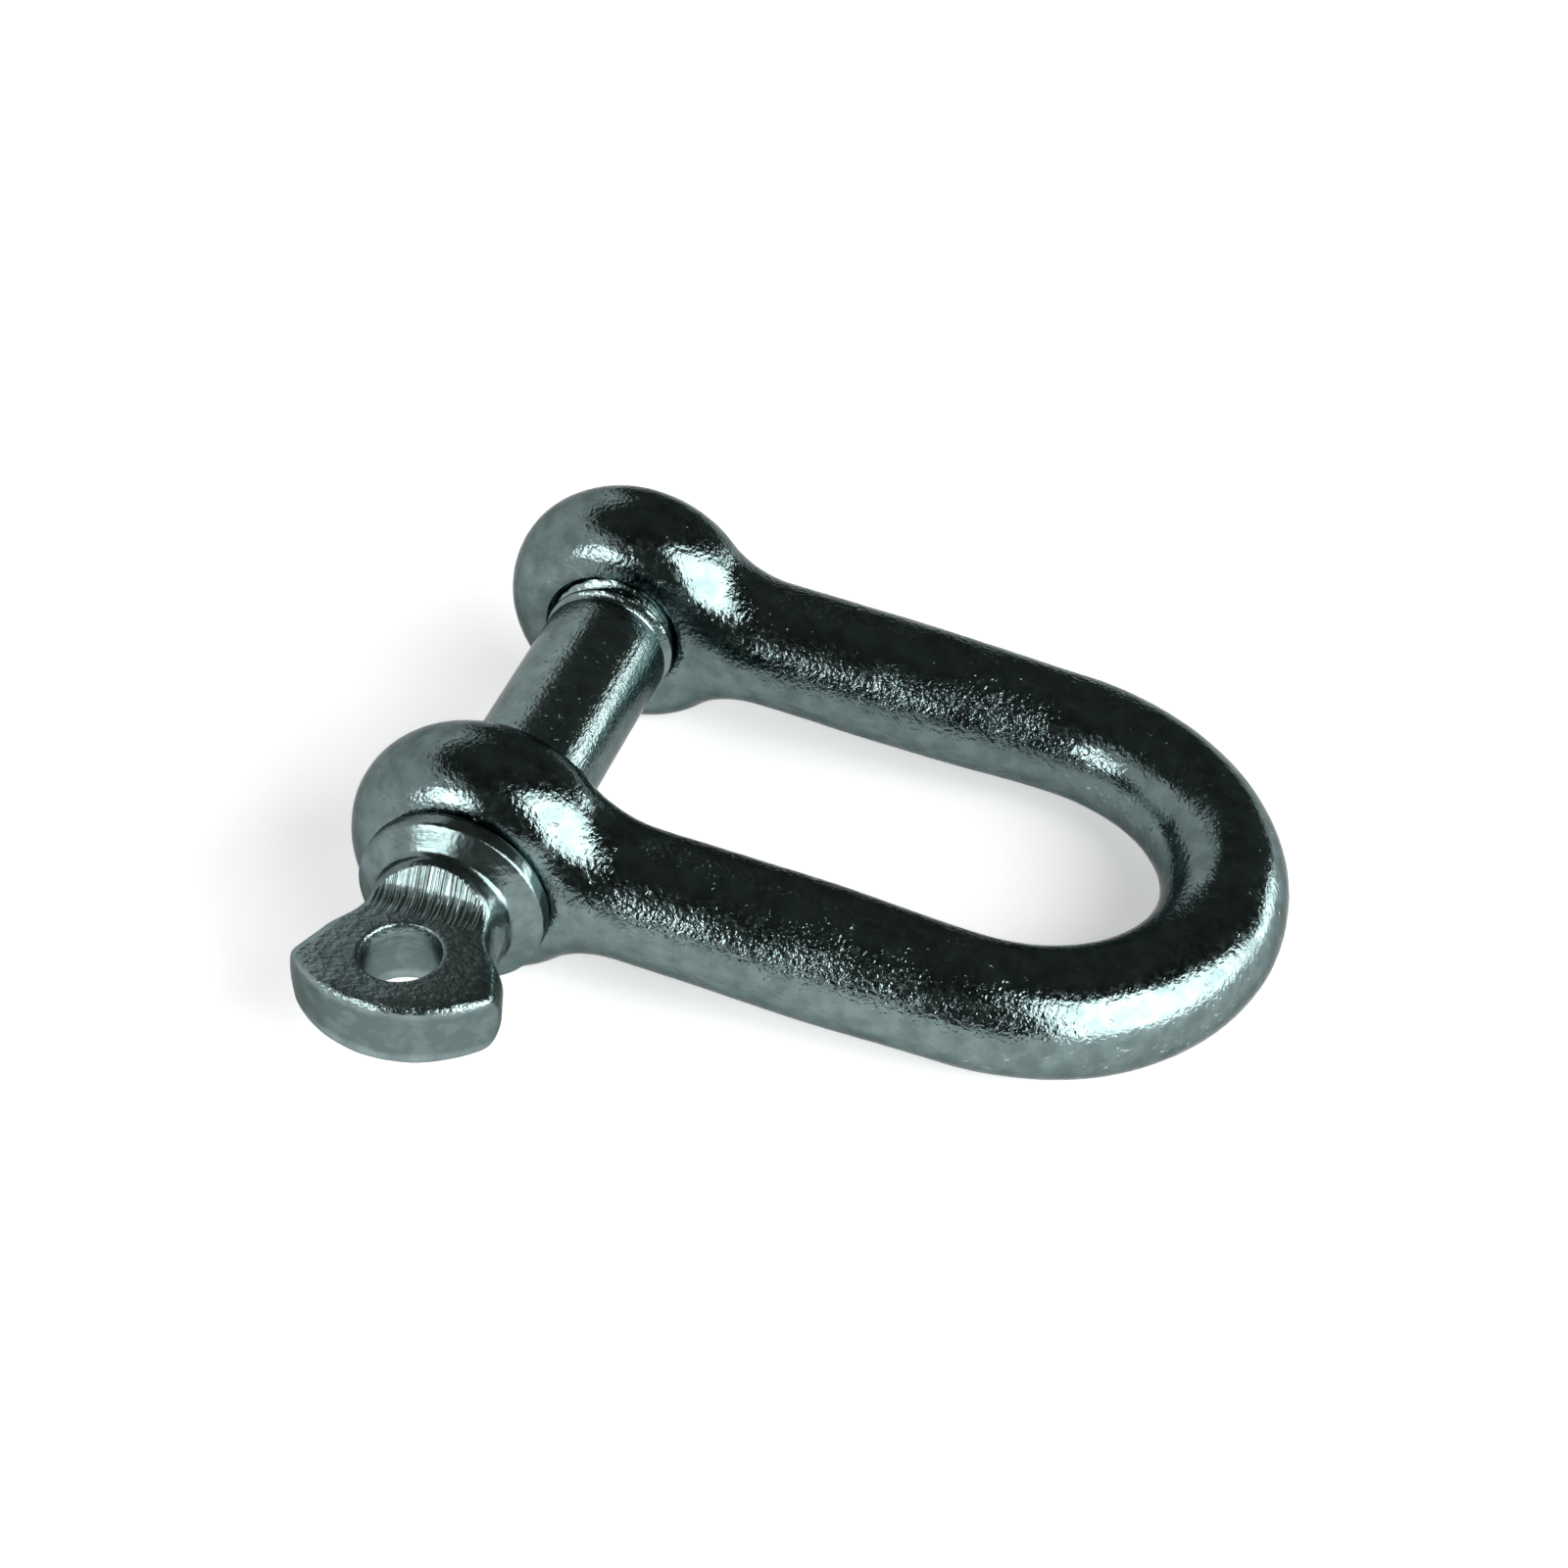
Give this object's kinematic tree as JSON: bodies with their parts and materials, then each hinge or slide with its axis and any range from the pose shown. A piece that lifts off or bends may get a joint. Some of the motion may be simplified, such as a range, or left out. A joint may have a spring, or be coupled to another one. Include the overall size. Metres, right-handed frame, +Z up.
{
  "type": "d-shackle with screw collar pin",
  "caption": "Zinc-plated steel D-shackle for joining chain: a forged bow with round ears, closed by a screw collar pin with a flat eye tab.",
  "frame": {"origin": "on the pin's axis, half way between the two ears", "axes": "+X towards the crown of the bow, +Y along the pin towards its threaded end, +Z up, with the bow lying on its ears and crown"},
  "size_m": [0.0633, 0.0547, 0.0192],
  "materials": {
    "bow_zinc": "bright zinc plating over a forged, slightly grainy skin",
    "pin_zinc": "bright zinc plating over a turned shank and a forged head"
  },
  "bodies": {
    "bow": {"bow": "bow_zinc"},
    "pin": {"screw_pin": "pin_zinc"}
  },
  "joints": [
    {"name": "pin_withdraw", "type": "slide", "parent": "bow", "child": "pin", "axis": [0, -1, 0], "range_m": [0, 0.055]}
  ]
}
